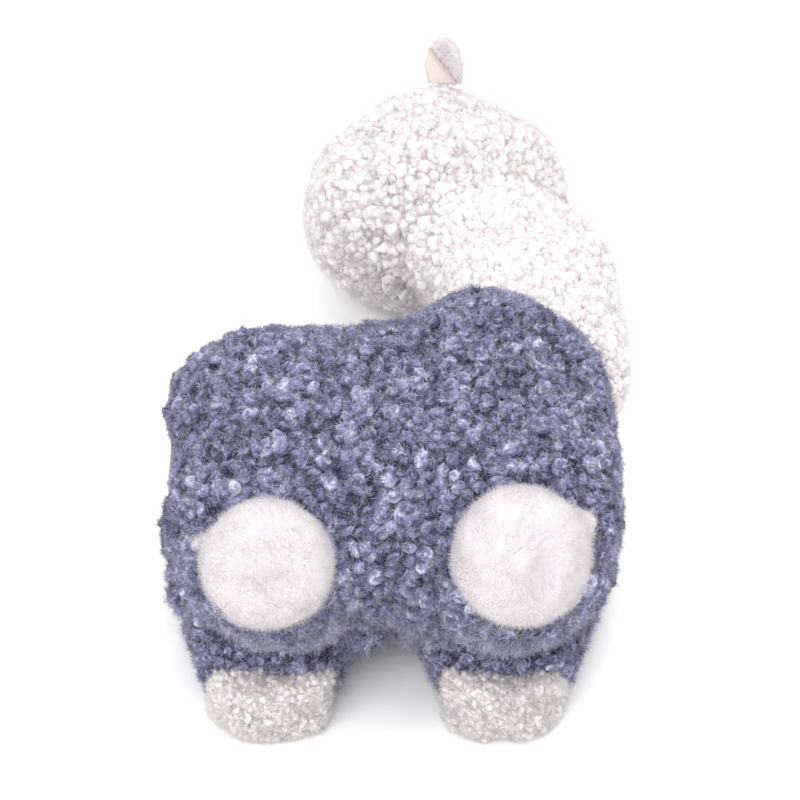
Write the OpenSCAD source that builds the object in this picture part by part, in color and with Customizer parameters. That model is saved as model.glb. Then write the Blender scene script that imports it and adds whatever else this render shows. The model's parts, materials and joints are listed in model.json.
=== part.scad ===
// Plush alpaca hand puppet, lying on its left flank.
// +X is the animal's front, +Y its back, +Z its right side, and the floor is Z = 0.

/* [Torso] */
// Length of the torso, rump to chest
torso_length = 175; // [172:1:190]
// Height of the torso, belly to back
torso_height = 136; // [130:1:142]
// Thickness of the torso, flank to flank
torso_width = 114; // [110:1:122]
// Rounding radius of the torso
torso_round = 38; // [34:1:42]
// How far the back falls from the withers to the rump
rump_drop = 14; // [6:1:16]
// Thickness of the curly fleece with its backing
pile = 6; // [5:0.5:7]

/* [Legs] */
// Distance between a front and a hind leg, halved
leg_spread = 47; // [46:0.5:50]
// Radius of the two upper legs
upper_leg_r = 25; // [23:0.5:26]
// Length of an upper leg from hip to sole
upper_leg_length = 34; // [32:1:38]
// Angle of the upper legs above the floor
upper_leg_lift = 45; // [40:1:50]
// Width of the two lower legs
lower_leg_width = 47; // [43:1:50]
// Thickness of the two lower legs, which lie squashed on the floor
lower_leg_thick = 30; // [26:1:32]
// Length of a lower leg from hip to sole
lower_leg_length = 34; // [32:1:38]
// Length of the white foot on each leg
foot_length = 20; // [18:1:22]
// Swing of each leg either way
leg_swing = 20; // [10:1:22]

/* [Neck] */
// Radius of the ball at the root of the neck
neck_root_r = 38; // [36:1:40]
// Radius of the neck at its thickest
neck_mid_r = 39; // [37:1:40]
// Swing of the neck either way
neck_swing = 15; // [5:1:18]

/* [Head] */
// Radius of the head
head_r = 49; // [46:1:52]
// Height of the head's centre above the floor
head_height = 45; // [42:1:46]
// Nod of the head either way
head_nod = 15; // [6:1:18]
// Length of an ear
ear_length = 18; // [16:1:24]
// Width of an ear
ear_width = 17; // [14:1:20]
// Flop of an ear either way
ear_flop = 25; // [10:1:30]
// Diameter of an eye
eye_d = 9; // [7:0.5:11]

/* [Hand pocket] */
// Width of the hand pocket, along the animal's height
pocket_width = 52; // [44:1:54]
// Thickness of the hand pocket
pocket_thick = 36; // [30:1:40]
// Depth of the hand pocket
pocket_depth = 98; // [80:1:100]
// Thickness of the pocket lining
lining = 1.6; // [1.2:0.2:2]

/* [Hidden] */
$fn = 96;

grey_fleece = [0.45, 0.47, 0.60];
cream_fleece = [0.95, 0.93, 0.89];
velour_beige = [0.90, 0.80, 0.72];
fibre_white = [0.97, 0.97, 0.97];
lining_grey = [0.62, 0.63, 0.70];
nose_pink = [0.85, 0.45, 0.48];
eye_black = [0.06, 0.06, 0.07];

// Air between pieces that move against each other
gap = 0.8;
// Facets of the rounded solids inside a hull, and of the round sockets cut into them
hull_fn = 28;
socket_fn = 48;
// Larger than the whole toy, for half spaces
far = 400;
// The least fleece left where it is flattened on the floor
flat_fleece = 2.5;
// Overlap that makes a cut run past a face
past = 1;

// The seam between the two flanks passes between the upper and the lower legs
seam_z = -11;
// Where the rump and the chest are centred, and where the belly folds between them
end_x = torso_length / 2 - torso_round;
fold_x = 21;
fold_depth = 8;
bridge_in = 1;
breast_out = 2;
breast_up = 16;
// How much slimmer the bridging shapes are, so that no two surfaces coincide
inlay = 0.5;

// Hips, neck, head centre and tail root, from the torso's centre
floor_z = -torso_width / 2;
upper_hip = [leg_spread, 10 - torso_height / 2, 17];
upper_legs_x = 3;
lower_hip = [leg_spread - 2.5, 22 - torso_height / 2, floor_z + lower_leg_thick / 2];
neck_root = [56, torso_height / 2 - 4, -2];
neck_mid = neck_root + [1, 52, -3];
neck_top = neck_mid + [-22, 30, -4];
head_at = [20, 175, floor_z + head_height];
tail_r = 13;
tail_at = [17 - torso_length / 2, torso_height / 2 - rump_drop - 12, 4];

// Legs
upper_sole_round = 16;
upper_ankle = upper_leg_length - foot_length;
lower_ankle = lower_leg_length - foot_length;
lower_fleece = 4;
sole_bow_r = 60;

// Hand pocket, whose mouth is in the rump
pocket_y = 0;
pocket_round = 10;
binding_width = 4;
binding_set_in = 1.5;
pocket_mouth = -torso_length / 2;
binding_x = pocket_mouth + binding_set_in;
pocket_end = pocket_mouth + pocket_depth;

// Ears, at an angle either side of the plane that halves the head, which is rolled off the floor
head_roll = 18;
ear_angle = 32;
ear_twist = 35;
ear_thick = 6;
ear_root_r = 3.5;
ear_x = 4;
ear_z = head_r + 0.5;

// Face, a flat patch let into the fleece
face_turn = 34;
face_tilt = 8;
face_z = head_r - 1;
face_thick = 3;
face_r = 21;
eye_apart = 26;
eye_y = 7;
shaft_d = 3;
shaft_length = 13;
washer_d = 10;
washer_thick = 1.6;
muzzle_r = 13;
muzzle_at = [0, -7, face_thick - 4];
nose_r = 4;
nose_up = 25;
mouth_r = 4.5;
mouth_down = 28;
thread_r = 0.8;

// The toy's middle between its soles and its ear tips, which goes over the origin
front_x = neck_mid[0] + neck_mid_r;
sole_y = upper_hip[1] - upper_sole_round
    - (upper_leg_length - upper_sole_round) * cos(upper_leg_lift)
    - (upper_leg_r - upper_sole_round) * sin(upper_leg_lift);
ear_tip_y = head_at[1] + (ear_z + ear_length) * cos(ear_angle - head_roll)
    + ear_thick / 2 * sin(ear_angle - head_roll);
middle = [(front_x + pocket_mouth) / 2, (sole_y + ear_tip_y) / 2, floor_z];

module at_torso() translate(-middle) children();

// What lies between two heights
module slab(from_z, to_z) {
    intersection() {
        children();
        translate([-far / 2, -far / 2, from_z]) cube([far, far, to_z - from_z]);
    }
}

// ---- Torso ----

// A rounded barrel across the torso, between two stations along it. A faceted ball is flat at
// its poles, a little short of its radius.
module barrel(from_x, to_x, belly_y, shrink) {
    across = torso_width / 2 - torso_round * cos(180 / hull_fn);
    hull()
        for (x = [from_x, to_x], z = [-across, across]) {
            translate([x, belly_y, z]) sphere(torso_round - shrink, $fn = hull_fn);
            translate([x, back_y(x), z]) sphere(torso_round - shrink, $fn = hull_fn);
        }
}

// Where the back's rounding is centred, which slopes down to the rump
function back_y(x) = torso_height / 2 - torso_round - rump_drop * (end_x - x) / (2 * end_x);

// The rump and the chest with a fold between them across the belly. The back bridges the fold,
// and the breast stands a little proud of the chest.
module torso_shape(shrink) {
    belly_y = torso_round - torso_height / 2;
    barrel(-end_x, -fold_x, belly_y, shrink);
    barrel(fold_x, end_x, belly_y, shrink);
    barrel(bridge_in - end_x, end_x - bridge_in, belly_y + fold_depth, shrink + inlay);
    barrel(fold_x + bridge_in, end_x + breast_out, belly_y + breast_up, shrink + inlay);
}

// A ball at each end, joined by a tapered tube that is a little slimmer than they are
module capsule(from, to, from_r, to_r) {
    waist = 1;
    way = to - from;
    length = norm(way);
    translate(from)
        rotate([0, acos(way[2] / length), atan2(way[1], way[0])]) {
            sphere(from_r);
            cylinder(h = length, r1 = from_r - waist, r2 = to_r - waist);
            translate([0, 0, length]) sphere(to_r);
        }
}

module at_upper_hip(side) {
    translate([upper_legs_x + side * upper_hip[0], upper_hip[1], upper_hip[2]])
        rotate([90 - upper_leg_lift, 0, 0])
            children();
}

module at_lower_hip(side) translate([side * lower_hip[0], lower_hip[1], lower_hip[2]]) children();

// The room that an upper leg sweeps as it swings about its hip
module upper_leg_room() {
    hull()
        for (swing = [-leg_swing, leg_swing])
            rotate([0, swing, 0]) {
                sphere(upper_leg_r + gap, $fn = hull_fn);
                cylinder(h = upper_leg_length + 6, r = upper_leg_r + gap, $fn = hull_fn);
            }
}

// The room that a lower leg sweeps as it swings on the floor
module lower_leg_room() {
    width = lower_leg_width + 2 * gap;
    top = lower_leg_thick / 2 + gap;
    reach = lower_leg_length + 6;
    hull()
        for (swing = [-leg_swing, leg_swing])
            rotate([0, 0, swing])
                translate([0, 0, top - torso_width]) {
                    cylinder(h = torso_width, d = width, $fn = hull_fn);
                    translate([-width / 2, -reach, 0]) cube([width, reach, torso_width]);
                }
}

module pocket_outline(grow) {
    r = pocket_round + grow;
    width = pocket_width + 2 * grow;
    thick = pocket_thick + 2 * grow;
    square([width - 2 * r, thick], center = true);
    square([width, thick - 2 * r], center = true);
    for (x = [-1, 1], y = [-1, 1])
        translate([x * (width / 2 - r), y * (thick / 2 - r)]) circle(r);
}

// The pocket's outline, run from one X to another
module pocket_prism(grow, from_x, to_x) {
    translate([from_x, pocket_y, 0])
        rotate([90, 0, 90])
            linear_extrude(to_x - from_x)
                pocket_outline(grow);
}

module binding_shape() pocket_prism(lining + binding_width, binding_x, pocket_mouth + pile);

module lining_shape() pocket_prism(lining, pocket_mouth + pile, pocket_end + lining);

// The torso's flank on one side of the seam: side 1 is the right flank, -1 the left
module flank(side) {
    slab(side > 0 ? seam_z : -far, side > 0 ? far : seam_z) children();
}

// Room for the legs, the neck, the tail and the hand
module torso_openings() {
    for (end = [-1, 1]) {
        at_upper_hip(end) upper_leg_room();
        at_lower_hip(end) lower_leg_room();
    }
    translate(neck_root) sphere(neck_root_r + gap, $fn = socket_fn);
    translate(tail_at) sphere(tail_r + gap, $fn = socket_fn);
    lining_shape();
    pocket_prism(lining + binding_width, pocket_mouth - past, pocket_mouth + pile);
}

module body_panel(side) {
    color(grey_fleece)
        at_torso()
            flank(side)
                difference() {
                    torso_shape(0);
                    torso_shape(pile);
                    torso_openings();
                }
}

module body_stuffing(side) {
    color(fibre_white)
        at_torso()
            flank(side)
                difference() {
                    torso_shape(pile);
                    torso_openings();
                }
}

module right_body_panel() body_panel(1);
module left_body_panel() body_panel(-1);
module right_body_stuffing() body_stuffing(1);
module left_body_stuffing() body_stuffing(-1);

module pocket_lining() {
    color(lining_grey)
        at_torso()
            difference() {
                lining_shape();
                pocket_prism(0, pocket_mouth - past, pocket_end);
            }
}

module pocket_binding() {
    color(lining_grey)
        at_torso()
            difference() {
                binding_shape();
                pocket_prism(0, pocket_mouth - past, pocket_end);
            }
}

// ---- Tail ----

// A ball that sits in the torso, with a short blunt tip, turned about the line through both
module tail_shape(shrink) {
    tip_out = 8;
    rotate([0, -90, -45])
        rotate_extrude()
            intersection() {
                union() {
                    circle(tail_r - shrink);
                    translate([0, tip_out]) circle(tail_r - 2 - shrink);
                }
                translate([0, -far / 2]) square([far / 2, far]);
            }
}

module tail_fleece() {
    color(grey_fleece)
        at_torso()
            translate(tail_at)
                difference() {
                    tail_shape(0);
                    tail_shape(pile);
                }
}

module tail_stuffing() color(fibre_white) at_torso() translate(tail_at) tail_shape(pile);

// ---- Upper legs: solids of revolution along local Z, from the hip to the sole ----

module upper_leg_shape(shrink) {
    r = upper_leg_r - shrink;
    flat_r = upper_leg_r - upper_sole_round;
    barrel = upper_leg_length - upper_sole_round;
    rotate_extrude() {
        intersection() {
            circle(r);
            translate([0, -r]) square([r, r]);
        }
        square([r, barrel]);
        square([flat_r, upper_leg_length - shrink]);
        intersection() {
            translate([flat_r, barrel]) circle(upper_sole_round - shrink);
            square([r, upper_leg_length]);
        }
    }
}

module upper_leg_skin(from_z, to_z) {
    slab(from_z, to_z)
        difference() {
            upper_leg_shape(0);
            upper_leg_shape(pile);
        }
}

module upper_sleeve(side) {
    color(grey_fleece) at_torso() at_upper_hip(side) upper_leg_skin(-upper_leg_r, upper_ankle);
}

module upper_foot(side) {
    color(cream_fleece) at_torso() at_upper_hip(side) upper_leg_skin(upper_ankle, upper_leg_length);
}

module upper_stuffing(side) {
    color(fibre_white) at_torso() at_upper_hip(side) upper_leg_shape(pile);
}

module front_right_sleeve() upper_sleeve(1);
module front_right_foot() upper_foot(1);
module front_right_stuffing() upper_stuffing(1);
module hind_right_sleeve() upper_sleeve(-1);
module hind_right_foot() upper_foot(-1);
module hind_right_stuffing() upper_stuffing(-1);

// ---- Lower legs: squashed on the floor, round about the hip, with a bowed sole ----

module lower_leg_shape(shrink) {
    thick = lower_leg_thick - 2 * shrink;
    edge_r = thick / 2;
    flat = lower_leg_width / 2 - shrink - edge_r;
    intersection() {
        union() {
            rotate_extrude() {
                translate([0, -edge_r]) square([flat, thick]);
                intersection() {
                    translate([flat, 0]) circle(edge_r);
                    translate([0, -edge_r]) square([far, thick]);
                }
            }
            rotate([90, 0, 0])
                linear_extrude(lower_leg_length) {
                    square([2 * flat, thick], center = true);
                    for (side = [-1, 1])
                        translate([side * flat, 0]) circle(edge_r);
                }
        }
        translate([0, sole_bow_r - lower_leg_length, -thick])
            cylinder(h = 2 * thick, r = sole_bow_r - shrink);
    }
}

module lower_leg_skin(from_hip, to_hip) {
    intersection() {
        difference() {
            lower_leg_shape(0);
            lower_leg_shape(lower_fleece);
        }
        translate([-far / 2, -to_hip, -far / 2]) cube([far, to_hip - from_hip, far]);
    }
}

module lower_sleeve(side) {
    color(grey_fleece) at_torso() at_lower_hip(side) lower_leg_skin(-lower_leg_width, lower_ankle);
}

module lower_foot(side) {
    color(cream_fleece) at_torso() at_lower_hip(side) lower_leg_skin(lower_ankle, lower_leg_length);
}

module lower_stuffing(side) {
    color(fibre_white) at_torso() at_lower_hip(side) lower_leg_shape(lower_fleece);
}

module front_left_sleeve() lower_sleeve(1);
module front_left_foot() lower_foot(1);
module front_left_stuffing() lower_stuffing(1);
module hind_left_sleeve() lower_sleeve(-1);
module hind_left_foot() lower_foot(-1);
module hind_left_stuffing() lower_stuffing(-1);

// ---- Neck: a bent stuffed tube, cut away under the head for the whole of its nod ----

module neck_tube(shrink) {
    capsule(neck_root, neck_mid, neck_root_r - shrink, neck_mid_r - shrink);
    capsule(neck_mid, neck_top, neck_mid_r - 1 - shrink, neck_root_r - shrink);
}

module head_room() {
    translate(head_at)
        for (nod = [-head_nod:head_nod / 3:head_nod])
            rotate([0, 0, nod]) head_shape(-gap);
}

module neck_fleece() {
    color(cream_fleece)
        at_torso()
            difference() {
                neck_tube(0);
                neck_tube(pile);
                head_room();
            }
}

module neck_stuffing() {
    color(fibre_white)
        at_torso()
            difference() {
                neck_tube(pile);
                head_room();
            }
}

// ---- Head: three overlapping balls, the skull, the back of the head and the cheeks ----

module head_shape(shrink) {
    sphere(head_r - shrink);
    translate([-12, 2, 0]) sphere(head_r - 5 - shrink);
    translate([10, 6, 0]) sphere(head_r - 4 - shrink);
}

// The head's balls, flattened where they lie on the floor
module head_resting(shrink) {
    slab(min(shrink, flat_fleece) - head_height, far) head_shape(shrink);
}

module at_head() at_torso() translate(head_at) children();

// Local Z runs out of the face and local Y up it
module at_face() {
    rotate([0, 0, face_turn])
        rotate([0, 90 + face_tilt, 0])
            rotate([0, 0, head_roll])
                children();
}

module on_face() at_face() translate([0, 0, face_z]) children();

module eye_places() {
    for (side = [-1, 1])
        on_face() translate([side * eye_apart / 2, eye_y, 0]) children();
}

module eye_holes() {
    eye_places() {
        translate([0, 0, face_thick - shaft_length]) cylinder(h = shaft_length, d = shaft_d);
        translate([0, 0, face_thick - shaft_length]) cylinder(h = washer_thick, d = washer_d);
    }
}

// Local Z runs up the ear and local X across it
module at_ear(side) {
    rotate([head_roll + side * ear_angle - 90, 0, 0])
        translate([ear_x, 0, ear_z])
            rotate([0, 0, -side * ear_twist])
                children();
}

module ear_seats() {
    for (side = [-1, 1])
        at_ear(side)
            rotate([0, 90, 0])
                cylinder(h = ear_width + 2, r = ear_root_r + gap, center = true);
}

module face_socket(from_z) on_face() translate([0, 0, from_z]) cylinder(h = head_r, r = face_r);

module head_fleece() {
    color(cream_fleece)
        at_head()
            difference() {
                head_resting(0);
                head_resting(pile);
                face_socket(-pile - shaft_length);
                ear_seats();
            }
}

module head_stuffing() {
    color(fibre_white)
        at_head()
            difference() {
                union() {
                    head_resting(pile);
                    intersection() {
                        head_resting(0);
                        on_face() translate([0, 0, -pile - shaft_length])
                            cylinder(h = pile + shaft_length, r = face_r);
                    }
                }
                face_socket(0);
                eye_holes();
                ear_seats();
            }
}

module face_patch() {
    color(velour_beige)
        at_head()
            difference() {
                on_face() cylinder(h = face_thick, r = face_r);
                eye_places() translate([0, 0, -past]) cylinder(h = face_thick + 2 * past, d = shaft_d);
            }
}

module nose_ball() on_face() translate(muzzle_at) rotate([-nose_up, 0, 0]) translate([0, 0, muzzle_r]) sphere(nose_r);

// The smile, half a ring of thread laid on the muzzle
module mouth_thread() {
    on_face()
        translate(muzzle_at)
            rotate([mouth_down, 0, 0])
                translate([0, 0, sqrt(pow(muzzle_r, 2) - pow(mouth_r, 2))])
                    rotate([0, 0, 200])
                        rotate_extrude(angle = 140)
                            translate([mouth_r, 0]) circle(thread_r, $fn = 24);
}

module muzzle() {
    color(velour_beige)
        at_head()
            difference() {
                on_face()
                    slab(face_thick, far)
                        translate(muzzle_at) sphere(muzzle_r);
                nose_ball();
                mouth_thread();
            }
}

module nose() color(nose_pink) at_head() nose_ball();
module mouth_stitch() color(nose_pink) at_head() mouth_thread();

// An eye: a domed button on a shaft that a washer holds behind the face
module eye(side) {
    color(eye_black)
        at_head()
            on_face()
                translate([side * eye_apart / 2, eye_y, 0]) {
                    translate([0, 0, face_thick - shaft_length]) cylinder(h = shaft_length, d = shaft_d);
                    slab(face_thick, far) translate([0, 0, face_thick - 1]) sphere(d = eye_d);
                }
}

module eye_washer(side) {
    color(fibre_white)
        at_head()
            on_face()
                translate([side * eye_apart / 2, eye_y, face_thick - shaft_length])
                    difference() {
                        cylinder(h = washer_thick, d = washer_d);
                        translate([0, 0, -past]) cylinder(h = washer_thick + 2 * past, d = shaft_d);
                    }
}

module right_eye() eye(-1);
module left_eye() eye(1);
module right_eye_washer() eye_washer(-1);
module left_eye_washer() eye_washer(1);

// A pointed leaf that stands on the ear's root
module ear_outline() {
    rise = ear_length / 2 + 3;
    arc_r = (pow(rise, 2) + pow(ear_width / 2, 2)) / ear_width;
    intersection() {
        translate([arc_r - ear_width / 2, ear_length - rise]) circle(arc_r);
        translate([ear_width / 2 - arc_r, ear_length - rise]) circle(arc_r);
    }
}

// One layer of an ear, from one depth to another along local Y
module ear_layer(side, from_y, to_y) {
    at_head()
        at_ear(side)
            intersection() {
                union() {
                    rotate([0, 90, 0]) cylinder(h = ear_width - 4, r = ear_root_r, center = true);
                    slab(0, far)
                        rotate([90, 0, 0])
                            linear_extrude(ear_thick, center = true)
                                ear_outline();
                }
                translate([-far / 2, from_y, -far / 2]) cube([far, to_y - from_y, far]);
            }
}

module right_ear_velour() color(velour_beige) ear_layer(1, -far, 0);
module right_ear_fleece() color(cream_fleece) ear_layer(1, 0, far);
module left_ear_velour() color(velour_beige) ear_layer(-1, -far, 0);
module left_ear_fleece() color(cream_fleece) ear_layer(-1, 0, far);

right_body_panel();
left_body_panel();
right_body_stuffing();
left_body_stuffing();
pocket_lining();
pocket_binding();
tail_fleece();
tail_stuffing();
neck_fleece();
neck_stuffing();
head_fleece();
head_stuffing();
face_patch();
muzzle();
nose();
mouth_stitch();
right_eye();
left_eye();
right_eye_washer();
left_eye_washer();
right_ear_velour();
right_ear_fleece();
left_ear_velour();
left_ear_fleece();
front_right_sleeve();
front_right_foot();
front_right_stuffing();
hind_right_sleeve();
hind_right_foot();
hind_right_stuffing();
front_left_sleeve();
front_left_foot();
front_left_stuffing();
hind_left_sleeve();
hind_left_foot();
hind_left_stuffing();
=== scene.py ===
"""Plush alpaca hand puppet lying on its left flank: curly grey body, cream neck, head and feet.

+X is the animal's front, +Y its back, +Z its right side, and the floor is Z = 0. Metres throughout.
Each soft piece is a remeshed skin, with closed curls and fibres of mesh scattered over it.
"""

import json
import math

import bmesh
import bpy
import numpy as np
from mathutils import Matrix, Vector, noise


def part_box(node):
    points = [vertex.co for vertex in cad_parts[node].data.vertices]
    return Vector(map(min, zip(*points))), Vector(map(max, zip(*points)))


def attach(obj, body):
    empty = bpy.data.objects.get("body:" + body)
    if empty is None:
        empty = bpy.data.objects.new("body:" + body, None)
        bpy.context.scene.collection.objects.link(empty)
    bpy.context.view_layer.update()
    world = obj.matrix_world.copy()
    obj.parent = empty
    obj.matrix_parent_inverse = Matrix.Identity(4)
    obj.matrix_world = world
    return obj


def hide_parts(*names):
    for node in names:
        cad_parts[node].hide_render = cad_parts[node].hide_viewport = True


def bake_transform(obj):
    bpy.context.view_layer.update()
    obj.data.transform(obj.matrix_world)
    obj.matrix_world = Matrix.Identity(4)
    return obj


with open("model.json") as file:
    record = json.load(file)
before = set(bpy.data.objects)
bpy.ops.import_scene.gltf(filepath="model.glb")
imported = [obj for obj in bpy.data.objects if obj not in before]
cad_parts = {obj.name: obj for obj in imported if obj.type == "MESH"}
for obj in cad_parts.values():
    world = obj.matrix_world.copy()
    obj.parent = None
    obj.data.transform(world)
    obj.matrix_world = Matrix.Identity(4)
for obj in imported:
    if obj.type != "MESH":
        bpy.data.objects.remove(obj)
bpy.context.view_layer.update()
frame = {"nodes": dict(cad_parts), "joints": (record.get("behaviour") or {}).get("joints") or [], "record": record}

MM = 0.001
JOINTS = {j["name"]: j for j in frame["joints"]}
UP_LEGS = ("front_right", "hind_right")
LOW_LEGS = ("front_left", "hind_left")
LEGS = UP_LEGS + LOW_LEGS

SKIN_GAP = 0.3 * MM  # how far a skin stays off the floor
PILE_GAP = 0.2 * MM  # how far curls and fibres stay off it
FIBRE_WIDE = 0.24 * MM
CURL_SIDES = 8
CURL_RINGS = 7


def joint_at(name):
    return np.array(JOINTS[name]["pos_m"])


def unit(v):
    v = np.asarray(v, float)
    return v / np.maximum(np.linalg.norm(v, axis=-1, keepdims=True), 1e-12)


def box_of(*nodes):
    """The box round several CAD nodes, as its lowest and highest corners."""
    corners = [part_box(n) for n in nodes]
    return np.min([c[0] for c in corners], axis=0), np.max([c[1] for c in corners], axis=0)


# ---------------------------------------------------------------- materials


class Nodes:
    """A short way to build a node tree."""

    def __init__(self, name):
        self.material = bpy.data.materials.new(name)
        self.material.use_nodes = True
        self.tree = self.material.node_tree
        self.shader = self.tree.nodes["Principled BSDF"]

    def add(self, kind, **inputs):
        node = self.tree.nodes.new(kind)
        for key, value in inputs.items():
            self.feed(node, key.replace("_", " "), value)
        return node

    def feed(self, node, socket, value):
        if isinstance(value, bpy.types.NodeSocket):
            self.tree.links.new(value, node.inputs[socket])
        else:
            node.inputs[socket].default_value = value

    def set(self, **inputs):
        for key, value in inputs.items():
            self.feed(self.shader, key.replace("_", " "), value)

    def position(self):
        return self.add("ShaderNodeNewGeometry").outputs["Position"]

    def noise(self, scale, detail=3.0, roughness=0.6, vector=None):
        node = self.add("ShaderNodeTexNoise", Scale=scale, Detail=detail, Roughness=roughness)
        self.feed(node, "Vector", self.position() if vector is None else vector)
        return node.outputs["Fac"]

    def attribute(self, name):
        node = self.add("ShaderNodeAttribute")
        node.attribute_name = name
        return node.outputs["Fac"]

    def maths(self, operation, a, b):
        node = self.add("ShaderNodeMath")
        node.operation = operation
        self.feed(node, 0, a)
        self.feed(node, 1, b)
        return node.outputs[0]

    def varied(self, value, texture, amount):
        """A value moved up and down by a texture whose middle is 0.5."""
        return self.maths("ADD", value, self.maths("MULTIPLY", self.maths("SUBTRACT", texture, 0.5), amount))

    def ramp(self, fac, stops):
        node = self.add("ShaderNodeValToRGB", Fac=fac)
        ramp = node.color_ramp
        while len(ramp.elements) < len(stops):
            ramp.elements.new(0.5)
        for element, (at, colour) in zip(ramp.elements, stops):
            element.position = at
            element.color = (*colour, 1)
        return node.outputs["Color"]

    def bump(self, height, strength, distance):
        node = self.add("ShaderNodeBump", Height=height, Strength=strength, Distance=distance)
        self.set(Normal=node.outputs["Normal"])


def fleece_material(name, dark, mid, light, sheen=0.3, glow=0.0, contrast=1.1, rough=0.8):
    """Curled fibre. The mesh's shade is painted: painted shade in the crevices, a painted highlight on the curls'
    tops.

    In the pale fleeces, dark is the lighter colour: painted light in the crevices, to stand for the light
    that they pass on inside."""
    n = Nodes(name)
    grain = n.noise(1150.0, 3.0, 0.75)
    patch = n.noise(45.0, 2.0)
    shade = n.varied(n.attribute("shade"), grain, contrast)
    shade = n.varied(shade, patch, 0.35)
    n.set(Base_Color=n.ramp(shade, [(0.0, dark), (0.5, mid), (1.0, light)]))
    n.set(Roughness=0.9, Specular_IOR_Level=0.15, Sheen_Weight=sheen, Sheen_Roughness=0.5)
    n.set(Subsurface_Weight=glow, Subsurface_Radius=(1.0, 0.75, 0.6), Subsurface_Scale=0.008)
    n.bump(n.noise(950.0, 3.0, 0.7), rough, 0.0011)
    return n.material


def velour_material(name, dark, light, scale=1800.0):
    """Short brushed pile on a knitted back."""
    n = Nodes(name)
    pile = n.noise(scale, 4.0, 0.7)
    cloud = n.noise(90.0, 3.0)
    fac = n.maths("ADD", n.maths("MULTIPLY", pile, 0.6), n.maths("MULTIPLY", cloud, 0.4))
    n.set(Base_Color=n.ramp(fac, [(0.3, dark), (0.7, light)]))
    n.set(Roughness=0.85, Specular_IOR_Level=0.2, Sheen_Weight=0.5, Sheen_Roughness=0.4)
    n.bump(pile, 0.4, 0.0003)
    return n.material


def woven_material(name, dark, light, pitch):
    """Plain weave: two crossed sets of threads."""
    n = Nodes(name)
    split = n.add("ShaderNodeSeparateXYZ", Vector=n.position())
    turns = 2 * math.pi / pitch
    sines = []
    for axis in "XYZ":
        sines.append(n.maths("SINE", n.maths("MULTIPLY", split.outputs[axis], turns), 0.0))
    weave = n.maths("MULTIPLY", n.maths("ADD", sines[0], sines[2]), sines[1])
    fac = n.maths("ADD", n.maths("MULTIPLY", weave, 0.22), n.noise(160.0, 4.0))
    n.set(Base_Color=n.ramp(fac, [(0.3, dark), (0.75, light)]))
    n.set(Roughness=0.9, Specular_IOR_Level=0.2, Sheen_Weight=0.2)
    n.bump(weave, 0.5, 0.0003)
    return n.material


def plastic_material(name, colour, roughness, coat):
    n = Nodes(name)
    wear = n.noise(900.0, 3.0)
    bright = tuple(min(1.0, c * 1.25 + 0.004) for c in colour)
    n.set(Base_Color=n.ramp(wear, [(0.35, colour), (0.75, bright)]))
    n.set(Roughness=roughness, Coat_Weight=coat, Coat_Roughness=0.05)
    n.bump(wear, 0.05, 0.0001)
    return n.material


# The ramps follow the shade attribute: their dark ends are painted shade for crevices and fibre roots, their
# light ends painted highlight for the tops of curls, besides random tone. CREAM and SHAG put their lighter colour
# at the dark end, as painted light.
GREY = fleece_material("grey_fleece", (0.010, 0.010, 0.030), (0.255, 0.255, 0.435), (0.88, 0.87, 1.0))
CREAM = fleece_material("cream_fleece", (0.98, 0.91, 0.87), (0.915, 0.84, 0.855), (0.86, 0.80, 0.83),
                        glow=0.4, contrast=0.3, rough=0.2)
PLUSH = fleece_material("white_plush", (0.60, 0.545, 0.555), (0.73, 0.68, 0.71), (0.82, 0.78, 0.81),
                        sheen=0.2, glow=0.3, contrast=0.5, rough=0.3)
SHAG = fleece_material("white_shag", (0.96, 0.885, 0.84), (0.89, 0.815, 0.81), (0.84, 0.775, 0.78),
                       glow=0.4, contrast=0.3, rough=0.2)
VELOUR = velour_material("beige_velour", (0.58, 0.50, 0.465), (0.74, 0.66, 0.63))
RIM = velour_material("ear_rim", (0.52, 0.40, 0.36), (0.70, 0.58, 0.54))
LINING = woven_material("lining_cloth", (0.20, 0.21, 0.28), (0.42, 0.44, 0.52), 0.0009)
FIBRE = fleece_material("fibre_fill", (0.75, 0.75, 0.75), (0.9, 0.9, 0.9), (0.98, 0.98, 0.98), sheen=0.2)
PINK = velour_material("pink_thread", (0.45, 0.08, 0.10), (0.80, 0.26, 0.28), 3000.0)
EYE = plastic_material("eye_plastic", (0.006, 0.006, 0.008), 0.12, 0.6)
WASHER = plastic_material("washer_plastic", (0.75, 0.75, 0.74), 0.45, 0.0)


# ---------------------------------------------------------------- mesh helpers


def mesh_object(name, points, faces, material):
    """A smooth mesh from points and a list of faces of one or several lengths."""
    mesh = bpy.data.meshes.new(name)
    sizes = np.concatenate([np.full(len(f), f.shape[1]) for f in faces])
    loops = np.concatenate([f.ravel() for f in faces])
    mesh.vertices.add(len(points))
    mesh.vertices.foreach_set("co", np.asarray(points, np.float32).ravel())
    mesh.loops.add(len(loops))
    mesh.loops.foreach_set("vertex_index", loops.astype(np.int32))
    mesh.polygons.add(len(sizes))
    mesh.polygons.foreach_set("loop_start", (np.cumsum(sizes) - sizes).astype(np.int32))
    mesh.polygons.foreach_set("use_smooth", np.ones(len(sizes), bool))
    mesh.update(calc_edges=True)
    mesh.materials.append(material)
    piece = bpy.data.objects.new(name, mesh)
    bpy.context.collection.objects.link(piece)
    return piece


def set_shade(piece, values):
    attribute = piece.data.attributes.new("shade", "FLOAT", "POINT")
    attribute.data.foreach_set("value", np.asarray(values, np.float32))


def shade_of(piece):
    values = np.empty(len(piece.data.vertices), np.float32)
    piece.data.attributes["shade"].data.foreach_get("value", values)
    return values


def points_of(piece):
    flat = np.empty(len(piece.data.vertices) * 3, np.float32)
    piece.data.vertices.foreach_get("co", flat)
    return flat.reshape(-1, 3).astype(float)


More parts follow.
